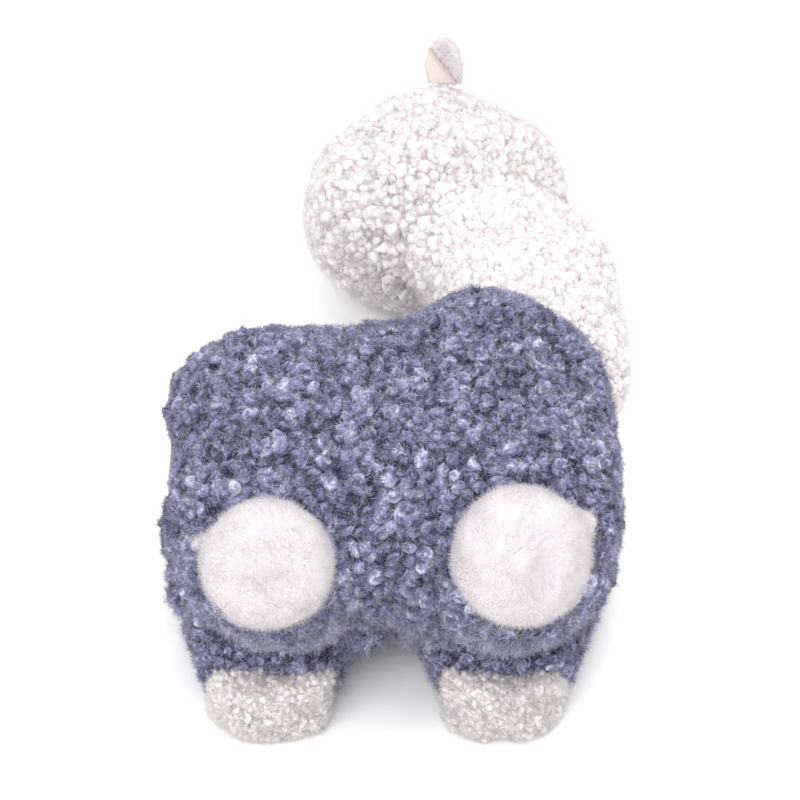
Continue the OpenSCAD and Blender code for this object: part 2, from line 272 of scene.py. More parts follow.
def normals_of(piece):
    flat = np.empty(len(piece.data.vertices) * 3, np.float32)
    piece.data.vertices.foreach_get("normal", flat)
    return flat.reshape(-1, 3).astype(float)


def set_points(piece, points):
    piece.data.vertices.foreach_set("co", np.asarray(points, np.float32).ravel())
    piece.data.update()


def apply_modifier(piece, kind, **settings):
    modifier = piece.modifiers.new(kind.lower(), kind)
    for key, value in settings.items():
        setattr(modifier, key, value)
    done = bpy.data.meshes.new_from_object(piece.evaluated_get(bpy.context.evaluated_depsgraph_get()))
    piece.modifiers.clear()
    piece.data = done


def ball(build, centre, radius, fineness=4):
    """Adds a ball to a bmesh."""
    bmesh.ops.create_icosphere(build, subdivisions=fineness, radius=radius,
                               matrix=Matrix.Translation(Vector(centre)))


def hull_of_balls(build, centres, radius):
    """Adds the convex hull of equal balls to a bmesh."""
    cloud = bmesh.new()
    for centre in centres:
        ball(cloud, centre, radius, 3)
    hull = bmesh.ops.convex_hull(cloud, input=cloud.verts)
    spare = [g for g in hull["geom_interior"] + hull["geom_unused"] if isinstance(g, bmesh.types.BMVert)]
    bmesh.ops.delete(cloud, geom=spare, context="VERTS")
    part = bpy.data.meshes.new("hull")
    cloud.to_mesh(part)
    cloud.free()
    build.from_mesh(part)
    bpy.data.meshes.remove(part)


def tapered(build, a, b, radius_a, radius_b, steps=6):
    """Adds a chain of overlapping balls to a bmesh, whose radius runs evenly from one end to the other."""
    for i in range(steps + 1):
        t = i / steps
        ball(build, Vector(a).lerp(Vector(b), t), radius_a + (radius_b - radius_a) * t)


def skin_from(build, name, material, voxel, smooth=12):
    """Turns overlapping closed forms into one smooth closed skin."""
    mesh = bpy.data.meshes.new(name)
    build.to_mesh(mesh)
    build.free()
    skin = bpy.data.objects.new(name, mesh)
    bpy.context.collection.objects.link(skin)
    apply_modifier(skin, "REMESH", mode="VOXEL", voxel_size=voxel, adaptivity=0.0)
    if smooth:
        apply_modifier(skin, "SMOOTH", factor=0.5, iterations=smooth)
    skin.data.materials.clear()
    skin.data.materials.append(material)
    skin.data.shade_smooth()
    skin.name = name
    return skin


def lumps(points, scale, seed):
    """Smooth noise from -1 to 1 at each point."""
    shift = Vector((seed * 7.13, seed * 3.71, seed * 5.37))
    return np.array([noise.noise(Vector(p) * scale + shift) for p in points])


def push(skin, amount):
    set_points(skin, points_of(skin) + normals_of(skin) * np.asarray(amount).reshape(-1, 1))


def rest_on_floor(skin):
    """Flattens what is below the floor."""
    points = points_of(skin)
    points[:, 2] = np.maximum(points[:, 2], SKIN_GAP)
    set_points(skin, points)


def puff(skin, cap, pressure=4.0):
    """Swells a skin under pressure as its stuffing does, and keeps each point near where it was."""
    start = points_of(skin)
    cloth = skin.modifiers.new("cloth", "CLOTH")
    cloth.settings.use_pressure = True
    cloth.settings.uniform_pressure_force = pressure
    cloth.settings.effector_weights.gravity = 0
    scene = bpy.context.scene
    for frame_number in range(1, 21):
        scene.frame_set(frame_number)
    graph = bpy.context.evaluated_depsgraph_get()
    swollen = skin.evaluated_get(graph).to_mesh()
    flat = np.empty(len(swollen.vertices) * 3, np.float32)
    swollen.vertices.foreach_get("co", flat)
    skin.evaluated_get(graph).to_mesh_clear()
    skin.modifiers.clear()
    scene.frame_set(1)
    move = flat.reshape(-1, 3) - start
    length = np.linalg.norm(move, axis=1, keepdims=True)
    set_points(skin, start + move * np.minimum(1, cap / np.maximum(length, 1e-9)))


# ---------------------------------------------------------------- curls and fibres


def scatter(skin, spacing, seed, keep=None):
    """Points spread evenly over a skin, about spacing apart, with the skin's normals."""
    draw = np.random.default_rng(seed)
    mesh = skin.data
    mesh.calc_loop_triangles()
    corners = np.empty(len(mesh.loop_triangles) * 3, np.int32)
    mesh.loop_triangles.foreach_get("vertices", corners)
    corners = corners.reshape(-1, 3)
    points, normals = points_of(skin), normals_of(skin)
    a, b, c = (points[corners[:, i]] for i in range(3))
    area = np.linalg.norm(np.cross(b - a, c - a), axis=1) / 2
    tries = int(area.sum() / spacing**2 * 5)
    pick = draw.choice(len(area), tries, p=area / area.sum())
    u, v = draw.random((2, tries))
    over = u + v > 1
    u[over], v[over] = 1 - u[over], 1 - v[over]
    weights = np.stack([1 - u - v, u, v], axis=1)[..., None]
    found = (points[corners[pick]] * weights).sum(axis=1)
    facing = unit((normals[corners[pick]] * weights).sum(axis=1))
    if keep is not None:
        chosen = keep(found, facing)
        found, facing = found[chosen], facing[chosen]
    cells, kept = {}, []
    grid = np.floor(found / spacing).astype(int)
    around = [(i, j, k) for i in (-1, 0, 1) for j in (-1, 0, 1) for k in (-1, 0, 1)]
    for index, (x, y, z) in enumerate(grid.tolist()):
        p = found[index]
        near = (q for i, j, k in around for q in cells.get((x + i, y + j, z + k), ()))
        if all(((p - q) ** 2).sum() > spacing**2 * 0.8 for q in near):
            cells.setdefault((x, y, z), []).append(p)
            kept.append(index)
    return found[kept], facing[kept]


def curl_shapes(count, draw):
    """Closed curls of unit size standing on Z = 0: wool wound up a dome, in spiral ridges.

    Returns their points, the way the wool runs at each point, the way out of it, and the ridges."""
    shapes, ways, outs, ridges = [], [], [], []
    down = np.linspace(0.28, 2.35, CURL_RINGS)[:, None]
    turn = np.linspace(0, 2 * math.pi, CURL_SIDES, endpoint=False)[None, :]
    for _ in range(count):
        arms, pitch = draw.integers(1, 4) * draw.choice((-1, 1)), draw.uniform(3.0, 5.5)
        ridge = np.sin(arms * turn + pitch * down + draw.uniform(0, 2 * math.pi))
        out = np.stack([np.sin(down) * np.cos(turn), np.sin(down) * np.sin(turn),
                        np.cos(down) + 0 * turn], axis=2)
        round_way = np.stack([-np.sin(turn) + 0 * down, np.cos(turn) + 0 * down, 0 * turn * down], axis=2)
        down_way = np.cross(round_way, out)
        radius = 0.62 * (1 + 0.17 * ridge * np.sin(down) + draw.normal(0, 0.07, ridge.shape))
        stretch = np.array([draw.uniform(0.85, 1.4), draw.uniform(0.75, 1.1), draw.uniform(0.8, 1.15)])
        body = out * radius[..., None] * stretch
        hook = draw.uniform(0.1, 0.6)
        body[..., 0] += hook * np.maximum(body[..., 2], 0) ** 2
        crown = np.array([hook * 0.35, 0, 0.6 * stretch[2]])
        shapes.append(np.concatenate([body.reshape(-1, 3), [crown, (0, 0, -0.45)]]))
        way = unit(round_way * pitch - down_way * arms)
        ways.append(np.concatenate([way.reshape(-1, 3), [(1, 0, 0), (1, 0, 0)]]))
        outs.append(np.concatenate([out.reshape(-1, 3), [(0, 0, 1), (0, 0, -1)]]))
        ridges.append(np.append(ridge.ravel(), [0, 0]))
    return np.array(shapes), np.array(ways), np.array(outs), np.array(ridges)


def tube_faces(sides, rings):
    quads = []
    for r in range(rings - 1):
        for s in range(sides):
            t = (s + 1) % sides
            quads.append((r * sides + s, r * sides + t, (r + 1) * sides + t, (r + 1) * sides + s))
    last, tip = (rings - 1) * sides, rings * sides
    caps = [(tip, (s + 1) % sides, s) for s in range(sides)]
    caps += [(tip + 1, last + s, last + (s + 1) % sides) for s in range(sides)]
    return np.array(quads), np.array(caps)


def repeated(faces, copies, stride):
    offset = (np.arange(copies) * stride)[:, None, None]
    return (faces[None] + offset).reshape(-1, faces.shape[1])


def curls(name, points, normals, size, material, seed, droop=0.4, clump=1.0 * MM, clump_scale=190):
    """One piece of closed curls, each about as big as size, standing on the given points in clumps.

    Returns it with the points, ways and outward ways that its fuzz grows from."""
    draw = np.random.default_rng(seed)
    shapes, ways, outs, ridges = curl_shapes(60, draw)
    count = len(points)
    pick = draw.integers(0, len(shapes), count)
    facing = unit(normals + draw.normal(0, droop, (count, 3)))
    side = unit(np.cross(facing, unit(draw.normal(0, 1, (count, 3)))))
    over = np.cross(facing, side)
    stand = lumps(points, clump_scale, 5)

    def turned(local):
        return (local[..., 0:1] * side[:, None] + local[..., 1:2] * over[:, None]
                + local[..., 2:3] * facing[:, None])

    scale = size * draw.uniform(0.65, 1.3, count)
    root = (points + normals * (clump * stand)[:, None])[:, None]
    placed = root + turned(shapes[pick] * scale[:, None, None])
    placed[..., 2] = np.maximum(placed[..., 2], PILE_GAP)
    quads, caps = tube_faces(CURL_SIDES, CURL_RINGS)
    stride = shapes.shape[1]
    piece = mesh_object(name, placed.reshape(-1, 3),
                        [repeated(quads, count, stride), repeated(caps, count, stride)], material)
    # Painted shade and highlight: each curl is painted darker low down and lighter on its crown, its spiral ridges
    # and the clumps that stand higher; the normal draw adds random tone.
    rise = np.clip(shapes[pick][..., 2], -0.4, 1.0)
    shade = 0.10 + 0.60 * rise + 0.16 * ridges[pick]
    shade += (0.28 * stand + draw.normal(0.0, 0.09, count))[:, None]
    set_shade(piece, np.clip(shade, 0, 1).ravel())
    return piece, placed.reshape(-1, 3), turned(ways[pick]).reshape(-1, 3), turned(outs[pick]).reshape(-1, 3)


def fibres(name, points, normals, length, width, material, seed, lean=(0, 0, 0), stray=0.5,
           shade=0.75, spread=0.15):
    """One piece of closed three-sided fibres, each of which tapers from its foot to a point."""
    draw = np.random.default_rng(seed)
    count = len(points)
    facing = unit(normals + np.asarray(lean) + draw.normal(0, stray, (count, 3)))
    side = unit(np.cross(facing, unit(draw.normal(0, 1, (count, 3)))))
    over = np.cross(facing, side)
    reach = (length * draw.uniform(0.6, 1.3, count))[:, None]
    foot = points - facing * reach * 0.15
    turn = np.linspace(0, 2 * math.pi, 3, endpoint=False)
    ring = np.cos(turn)[None, :, None] * side[:, None] + np.sin(turn)[None, :, None] * over[:, None]
    rows = np.concatenate([foot[:, None] + ring * width / 2, (points + facing * reach)[:, None]], axis=1)
    rows[..., 2] = np.maximum(rows[..., 2], PILE_GAP)
    faces = np.array([(2, 1, 0)] + [(s, (s + 1) % 3, 3) for s in range(3)])
    piece = mesh_object(name, rows.reshape(-1, 3), [repeated(faces, count, 4)], material)
    tone = np.clip(shade + draw.normal(0, spread, count), 0, 1)[:, None]
    # Painted shade: each fibre's foot is painted a quarter darker than its tip.
    set_shade(piece, (tone * np.array([0.75] * 3 + [1.0])).ravel())
    return piece


def fuzz_on(name, coat, normals, count, length, seed, brushed=None):
    """Fine loose fibres that run along the curls of another piece and stand off them.

    They take the curl's tone, painted shade and painted highlight included. Where brushed is 1 and not 0
    they are twice as long."""
    piece, points, ways, outs = coat
    draw = np.random.default_rng(seed)
    stride = len(points) // len(normals)
    outer = np.nonzero((outs * np.repeat(normals, stride, axis=0)).sum(axis=1) > -0.1)[0]
    pick = draw.choice(outer, count)
    lay = unit(ways[pick] * 0.85 + outs[pick] * 0.5)
    # Painted shade and highlight carried over from the curl, with random lumps of tone.
    tone = 0.33 + 0.65 * shade_of(piece)[pick] + 0.3 * lumps(points[pick], 170, 7)
    if brushed is not None:
        length = length * (1 + brushed(points[pick]))
        tone += 0.12 * brushed(points[pick])
    return fibres(name, points[pick], lay, length, FIBRE_WIDE, piece.data.materials[0], seed + 1,
                  stray=0.3, shade=tone, spread=0.2)


def above_floor(points, normals):
    """Leaves out what is pressed on the floor."""
    return (points[:, 2] > 2.0 * MM) | (normals[:, 2] > -0.5)


def split_fleece(name, skin, spacing, size, seed, ride, fuzz, keep=None, pieces=1, brushed=None,
                 reach=0.55, **shape):
    """Covers a skin in curls and fuzz, in several pieces along X.

    The fuzz is reach times as long as a curl is wide."""
    def kept(points, normals):
        chosen = above_floor(points, normals)
        return chosen & keep(points, normals) if keep else chosen

    points, normals = scatter(skin, spacing, seed, kept)
    order = np.argsort(points[:, 0])
    for i, part in enumerate(np.array_split(order, pieces)):
        coat = curls(f"{name}_curls_{i}", points[part], normals[part], size, skin.data.materials[0],
                     seed + 10 + i, **shape)
        ride(coat[0])
        ride(fuzz_on(f"{name}_fuzz_{i}", coat, normals[part], fuzz // pieces, reach * size,
                     seed + 20 + i, brushed))


def rider(body):
    """Returns a function that makes a piece ride on a body."""
    def ride(piece):
        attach(piece, body)
        return piece
    return ride


def flat_shade(skin, value, vary=0.08, seed=1):
    points = points_of(skin)
    set_shade(skin, np.clip(value + vary * lumps(points, 160, seed), 0, 1))


# ---------------------------------------------------------------- camera, light and floor

CAMERA_PITCH = math.radians(45)
CAMERA_AWAY = 1.8
CAMERA_LENS = 198.5
AIM_RIGHT = 0.8 * MM
AIM_UP = 20.2 * MM


def make_camera():
    up = Vector((0, math.sin(CAMERA_PITCH), math.cos(CAMERA_PITCH)))
    back = Vector((0, -math.cos(CAMERA_PITCH), math.sin(CAMERA_PITCH)))
    camera = bpy.data.objects.new("camera", bpy.data.cameras.new("camera"))
    bpy.context.collection.objects.link(camera)
    camera.location = up * AIM_UP + Vector((AIM_RIGHT, 0, 0)) + back * CAMERA_AWAY
    camera.rotation_euler = (math.pi / 2 - CAMERA_PITCH, 0, 0)
    camera.data.lens = CAMERA_LENS
    camera.data.sensor_width = 36
    bpy.context.scene.camera = camera


def area_light(name, at, size, power):
    light = bpy.data.objects.new(name, bpy.data.lights.new(name, "AREA"))
    light.data.shape = "SQUARE"
    light.data.size = size
    light.data.energy = power
    light.location = at
    light.rotation_euler = (-Vector(at)).to_track_quat("-Z", "Y").to_euler()
    bpy.context.collection.objects.link(light)


def make_studio():
    floor = mesh_object("floor", np.array([(x, y, 0) for x, y in ((-4, -4), (4, -4), (4, 4), (-4, 4))]),
                        [np.array([(0, 1, 2, 3)])], None)
    n = Nodes("floor_paper")
    n.set(Base_Color=n.ramp(n.noise(40.0), [(0.3, (0.955, 0.955, 0.96)), (0.7, (0.975, 0.975, 0.98))]))
    n.set(Roughness=0.9, Specular_IOR_Level=0.1)
    floor.data.materials.clear()
    floor.data.materials.append(n.material)
    world = bpy.data.worlds.new("studio")
    world.use_nodes = True
    world.node_tree.nodes["Background"].inputs["Color"].default_value = (1, 1, 1, 1)
    world.node_tree.nodes["Background"].inputs["Strength"].default_value = 1.0
    bpy.context.scene.world = world
    area_light("key", (0.35, 0.25, 1.5), 1.2, 13)
    area_light("fill", (-0.5, -1.1, 1.2), 1.2, 15)
    view = bpy.context.scene.view_settings
    view.view_transform = "Standard"
    view.look = "None"


# ---------------------------------------------------------------- torso

PILE = 2.8 * MM  # how far the curls stand out of the skin
TORSO_ROUND = 38 * MM
BELLY_FOLD = 21 * MM  # how far each half of the barrel stops short of the middle
BACK_DROP = 14 * MM  # how much lower the back is at the rump
HAUNCH = 33 * MM  # the radius of the body round an upper leg


# Folds in the belly and round the haunches: where each runs, as distances along X and along the
# line that rises at 45 degrees from belly to back, with its width and depth. All in millimetres.
FOLDS = [
    ([(-38, -86), (-30, -78), (-12, -66), (2, -72), (16, -82)], 4.5, 6.0),
    ([(-2, -66), (0, -50)], 6.0, 2.0),
    ([(-84, -44), (-78, -62), (-60, -72), (-38, -76)], 4.5, 3.8),
    ([(24, -74), (44, -76), (66, -70), (82, -56)], 4.5, 3.8),
    ([(-60, -8), (-36, -4), (-16, -12), (-10, -28)], 6.0, 1.6),
    ([(30, -6), (54, -2), (74, -10)], 6.0, 1.6),
    ([(-22, -84), (14, -84)], 13.0, 6.0),
    ([(-96, 2), (-82, -2)], 9.0, 3.5),
    ([(-98, -10), (-88, -14)], 13.0, 4.0),
    ([(-90, 38), (-74, 48)], 8.0, 2.5),
    ([(-82, -64), (-62, -80), (-40, -84)], 4.0, 2.5),
]


def torso_skin():
    low, high = box_of("right_body_panel", "left_body_panel")
    low, high = low + PILE, high - PILE
    low[2] = SKIN_GAP
    radius = TORSO_ROUND - PILE
    middle_x = (low[0] + high[0]) / 2
    build = bmesh.new()

    def back(x):
        return high[1] - radius - BACK_DROP * (high[0] - x) / (high[0] - low[0])

    def barrel(x0, x1, belly):
        hull_of_balls(build, [(x, y, z) for x in (x0, x1) for z in (low[2] + radius, high[2] - radius)
                              for y in (belly, back(x))], radius)

    belly = low[1] + radius
    barrel(low[0] + radius, middle_x - BELLY_FOLD, belly)
    barrel(middle_x + BELLY_FOLD, high[0] - radius, belly)
    barrel(low[0] + radius + MM, high[0] - radius - MM, belly + 8 * MM)
    for leg in UP_LEGS:
        hip = joint_at(leg + "_leg_swing")
        ball(build, Vector(hip) + Vector((0, 5, -5)) * MM, HAUNCH)
    withers = (high[0] - 49 * MM, high[1] - 32.5 * MM, high[2] - 35 * MM)
    tapered(build, withers, np.array(withers) - np.array([26, 5, 5]) * MM, 39.5 * MM, 37.5 * MM, 3)
    skin = skin_from(build, "torso_skin", GREY, 3 * MM, 14)
    puff(skin, 4 * MM)
    points = points_of(skin)
    push(skin, 1.6 * MM * lumps(points, 38, 1) + 0.9 * MM * lumps(points, 110, 2) - creases(points))
    rest_on_floor(skin)
    return skin


def creases(points):
    """How deep the folds are at each point of the torso's belly side."""
    flat = np.stack([points[:, 0], (points[:, 1] + points[:, 2]) * math.sqrt(0.5)], axis=1) / MM
    depth = np.zeros(len(points))
    for line, width, deep in FOLDS:
        away = np.full(len(points), 1e9)
        for a, b in zip(line, line[1:]):
            a, b = np.array(a, float), np.array(b, float)
            along = np.clip((flat - a) @ (b - a) / ((b - a) @ (b - a)), 0, 1)
            away = np.minimum(away, np.linalg.norm(flat - a - along[:, None] * (b - a), axis=1))
        depth += deep * MM * np.exp(-((away / width) ** 2))
    belly_side = np.clip((points[:, 2] - points[:, 1]) / MM / 40 - 0.5, 0, 1)
    return depth * belly_side


def rounded_outline(width, height, radius, count):
    """A closed outline in the YZ plane, as count points."""
    corners = []
    per = count // 4
    for quarter, (sy, sz) in enumerate(((1, 1), (-1, 1), (-1, -1), (1, -1))):
        angle = np.linspace(0, math.pi / 2, per, endpoint=False) + quarter * math.pi / 2
        corners.append(np.stack([sy * (width / 2 - radius) + radius * np.cos(angle),
                                 sz * (height / 2 - radius) + radius * np.sin(angle)], axis=1))
    return np.concatenate(corners)


def loft(name, rings, material):
    """A closed skin through rings of points. Its ends are capped."""
    count, sides = rings.shape[:2]
    quads, caps = tube_faces(sides, count)
    ends = np.stack([rings[0].mean(axis=0), rings[-1].mean(axis=0)])
    return mesh_object(name, np.concatenate([rings.reshape(-1, 3), ends]), [quads, caps], material)


def cut_pocket(skin, low, high):
    """Takes the hand pocket out of the torso's skin."""
    width, height = high[1] - low[1], high[2] - low[2]
    middle = (low + high) / 2
    outline = rounded_outline(width, height, 11 * MM, 48)
    stations = np.linspace(low[0] - 20 * MM, high[0], 12)
    rings = np.array([[(x, middle[1] + y, middle[2] + z) for y, z in outline] for x in stations])
    cutter = loft("cutter", rings, LINING)
    apply_modifier(skin, "BOOLEAN", operation="DIFFERENCE", object=cutter, solver="EXACT")
    bpy.data.objects.remove(cutter)


def pocket_bag(low, high):
    """The lining, a cloth bag with soft creases that is open at the rump."""
    middle = (low + high) / 2
    width, height = high[1] - low[1], high[2] - low[2]
    draw_in = 0.2 * MM
    thick = 1.3 * MM

    def ring(x, inset, wave):
        outline = rounded_outline(width - 2 * inset, height - 2 * inset, 11 * MM - inset, 64)
        angle = np.linspace(0, 2 * math.pi, 64, endpoint=False)
        crease = wave * (0.5 * np.sin(5 * angle + x * 90) + 0.5 * np.sin(9 * angle - x * 140))
        outline = outline * (1 - (crease[:, None] / (width / 2)))
        return [(x, middle[1] + y, middle[2] + z) for y, z in outline]

    stations = np.linspace(low[0] + MM, high[0] - draw_in, 26)
    outer = [ring(x, draw_in, 0) for x in stations]
    inner = [ring(x, draw_in + thick, 0.7 * MM) for x in stations[::-1] - thick]
    inner = [[(max(p[0], low[0] + MM), p[1], p[2]) for p in r] for r in inner]
    rings = np.array(outer + inner)
    bag = mesh_object("pocket_bag", *bag_faces(rings), LINING)
    rider("torso")(bag)
    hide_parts("pocket_lining")


def bag_faces(rings):
    """Rings that run down the outside of a bag and back up its inside, closed at the bottom."""
    count, sides = rings.shape[:2]
    half = count // 2
    points = rings.reshape(-1, 3)
    quads = []
    rows = [(r, r + 1) for r in range(half - 1)] + [(r, r + 1) for r in range(half, count - 1)]
    rows.append((count - 1, 0))
    for a, b in rows:
        for s in range(sides):
            t = (s + 1) % sides
            quads.append((a * sides + s, a * sides + t, b * sides + t, b * sides + s))
    outer_end, inner_end = half - 1, half
    centres = np.stack([rings[outer_end].mean(axis=0), rings[inner_end].mean(axis=0)])
    tips = len(points)
    caps = []
    for s in range(sides):
        t = (s + 1) % sides
        caps.append((tips, outer_end * sides + s, outer_end * sides + t))
        caps.append((tips + 1, inner_end * sides + t, inner_end * sides + s))
    return np.concatenate([points, centres]), [np.array(quads), np.array(caps)]


def pocket_rim(low, high):
    """The binding, a soft roll of cloth round the pocket's mouth, with its stitches."""
    rim_low, rim_high = box_of("pocket_binding")
    middle = (rim_low + rim_high) / 2
    width, height = rim_high[1] - rim_low[1], rim_high[2] - rim_low[2]
    thick = (width - (high[1] - low[1])) / 4 + 1.2 * MM
    outline = rounded_outline(width - 2 * thick, height - 2 * thick, 12 * MM, 96)
    drawn_in = thick + 3 * MM
    path = np.array([(rim_low[0] + drawn_in, middle[1] + y, middle[2] + z) for y, z in outline])
    way = unit(np.roll(path, -1, axis=0) - np.roll(path, 1, axis=0))
    out = unit(np.cross(way, np.array([1.0, 0, 0])))
    turn = np.linspace(0, 2 * math.pi, 14, endpoint=False)
    pucker = 1 + 0.06 * np.sin(np.arange(96) * 2 * math.pi / 6)
    ring = (np.cos(turn)[None, :, None] * out[:, None] + np.sin(turn)[None, :, None]
            * np.array([1.0, 0, 0])[None, None])
    points = path[:, None] + ring * (thick * pucker)[:, None, None]
    sides = len(turn)
    quads = np.array([(r * sides + s, r * sides + (s + 1) % sides,
                       (r + 1) % 96 * sides + (s + 1) % sides, (r + 1) % 96 * sides + s)
                      for r in range(96) for s in range(sides)])
    rim = mesh_object("pocket_rim", points.reshape(-1, 3), [quads], LINING)
    rider("torso")(rim)
    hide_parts("pocket_binding")


def make_torso():
    skin = torso_skin()
    low, high = box_of("pocket_lining")
    cut_pocket(skin, low, high)
    # Painted shade: the skin is painted nearly the crevices' dark, where it shows between the curls.
    flat_shade(skin, 0.12)
    rider("torso")(skin)
    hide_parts("right_body_panel", "left_body_panel")
    middle = (low + high) / 2
    half = (high - low) / 2 + 2.5 * MM

    def outside(points, normals):
        in_y = np.abs(points[:, 1] - middle[1]) < half[1]
        in_z = np.abs(points[:, 2] - middle[2]) < half[2]
        chosen = ~(in_y & in_z & (points[:, 0] < high[0] + 3 * MM))
        for leg in UP_LEGS:
            away, along = leg_distance(points, leg)
            chosen &= ~((away < 22 * MM) & (along > 0))
        return chosen

    def below_feet(points):
        return np.clip((-75 * MM - points[:, 1] - points[:, 2]) / (20 * MM), 0, 1)

    split_fleece("torso", skin, 3.7 * MM, 4.6 * MM, 100, rider("torso"), 320000,
                 outside, pieces=9, brushed=below_feet, clump=1.5 * MM, clump_scale=150)
    pocket_bag(low, high)
    pocket_rim(low, high)


# ---------------------------------------------------------------- legs


def leg_way(leg):
    """The leg's direction, from hip to sole."""
    if leg in LOW_LEGS:
        return np.array([0.0, -1.0, 0.0])
    return np.array([0.0, -math.sqrt(0.5), math.sqrt(0.5)])


def all_round(way, count):
    """Unit vectors square to a leg's direction, evenly spread round it."""
    for turn in range(count):
        angle = turn * 2 * math.pi / count
        yield np.array([1.0, 0, 0]) * math.cos(angle) + np.cross(way, [1.0, 0, 0]) * math.sin(angle)


def leg_distance(points, leg):
    """How far points are from the leg's axis, and how far along it from the hip."""
    from_hip = points - joint_at(leg + "_leg_swing")
    along = from_hip @ leg_way(leg)
    return np.linalg.norm(from_hip - along[:, None] * leg_way(leg), axis=1), along


SOLE_EDGE = 14 * MM  # the radius of the roll round an upper foot's sole
FOOT_RISE = {"front_right": 3.5 * MM, "hind_right": 0.5 * MM}
FOOT_SIZE = {"front_right": 1.09, "hind_right": 1.03}
# Where the foot's seam ends in a point: millimetres from the leg's axis along X and up the belly
FOOT_CORNER = {"front_right": (23, 15), "hind_right": (-24, 7)}


def upper_leg(leg):
    hip, way = joint_at(leg + "_leg_swing"), leg_way(leg)
    body = leg + "_leg"
    seed = 300 + 40 * LEGS.index(leg)
    build = bmesh.new()
    radius = 24.6 * MM
    tapered(build, hip, hip + way * 8 * MM, radius, radius, 3)
    tapered(build, hip, hip + way * 18.5 * MM, SOLE_EDGE, SOLE_EDGE, 2)
    for side in all_round(way, 16):
        ball(build, hip + way * 18 * MM + side * 10.2 * MM, SOLE_EDGE, 3)
    skin = skin_from(build, leg + "_foot_skin", PLUSH, 2 * MM, 10)
    puff(skin, 2 * MM, 3.0)
    points = points_of(skin)
    rise = np.array([0.0, math.sqrt(0.5), math.sqrt(0.5)])
    away = points - hip
    points += away * (FOOT_SIZE[leg] - 1) + rise * FOOT_RISE[leg]
    set_points(skin, points)
    away, along = leg_distance(points - rise * FOOT_RISE[leg], leg)
    nub = np.exp(-((away / (5 * MM)) ** 2)) * (along > 0)
    sideways, upwards = FOOT_CORNER[leg]
    corner = hip + way * 12 * MM + np.array([sideways, 0, 0]) * MM + rise * upwards * MM
    pinch = np.exp(-((np.linalg.norm(points - corner, axis=1) / (5 * MM)) ** 2))
    push(skin, 0.7 * MM * lumps(points, 60, seed) + 0.35 * MM * lumps(points, 170, seed + 1) + 2 * MM * nub
         + 5 * MM * pinch)
    flat_shade(skin, 0.6, seed=seed)
    ride = rider(body)
    ride(skin)
    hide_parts(leg + "_foot")

    def on_foot(points, normals):
        return ((points - hip) @ way > 2 * MM) & (normals @ way > 0.1)

    plush(leg, skin, seed, ride, on_foot)


def plush(leg, skin, seed, ride, keep):
    """Short dense pile that lies in swirls, with a few longer stray fibres that stand out of it."""
    coat, facing = scatter(skin, 0.52 * MM, seed + 2, keep)
    for i, part in enumerate(np.array_split(np.argsort(coat[:, 0]), 2)):
        swirl = np.stack([lumps(coat[part], 90, seed + 5 + k) for k in range(3)], axis=1) * 1.3
        ride(fibres(f"{leg}_foot_pile_{i}", coat[part], facing[part], 2.2 * MM, FIBRE_WIDE, PLUSH,
                    seed + 8 + i, swirl, stray=0.3, shade=0.5, spread=0.16))
    draw = np.random.default_rng(seed + 11)
    pick = draw.choice(len(coat), 420, replace=False)
    ride(fibres(f"{leg}_foot_wisps", coat[pick], facing[pick], 3.6 * MM, 0.18 * MM, PLUSH, seed + 12,
                stray=0.4, shade=0.6))


def lower_leg(leg):
    low, high = box_of(leg + "_foot", leg + "_sleeve")
    body = leg + "_leg"
    seed = 300 + 40 * LEGS.index(leg)
    inset = 1.2 * MM
    radius = 8 * MM
    sole_out = 3.5 * MM
    build = bmesh.new()
    middle_x = (low[0] + high[0]) / 2
    half = (high[0] - low[0]) / 2 - inset - radius
    sole_y = low[1] - sole_out + radius
    centres = [(middle_x + sx * half, y, z) for sx in (-1, 1) for y in (sole_y + 4 * MM, high[1] - 26 * MM)
               for z in (radius, high[2] - inset - radius)]
    centres += [(middle_x + sx * half * 0.6, sole_y, z) for sx in (-1, 1)
                for z in (radius, high[2] - inset - radius - 2 * MM)]
    hull_of_balls(build, centres, radius)
    edge_z = high[2] - inset - 4.5 * MM
    sole_edge = [(middle_x + t * half * 1.12, sole_y - radius * 0.55 + 5 * MM * t * t, edge_z)
                 for t in np.linspace(-1, 1, 23)]
    for at in sole_edge:
        ball(build, at, 4.6 * MM, 3)
    skin = skin_from(build, leg + "_foot_skin", SHAG, 1.8 * MM, 5)
    puff(skin, 2 * MM, 3.0)
    points = points_of(skin)
    push(skin, 2.0 * MM * lumps(points, 70, seed) + 1.0 * MM * lumps(points, 170, seed + 1))
    rest_on_floor(skin)
    flat_shade(skin, 0.6, seed=seed)
    ride = rider(body)
    ride(skin)
    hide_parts(leg + "_foot")
    split_fleece(leg + "_foot", skin, 1.9 * MM, 2.3 * MM, seed + 3, ride, 30000,
                 reach=1.2, clump=0.8 * MM, droop=0.4)


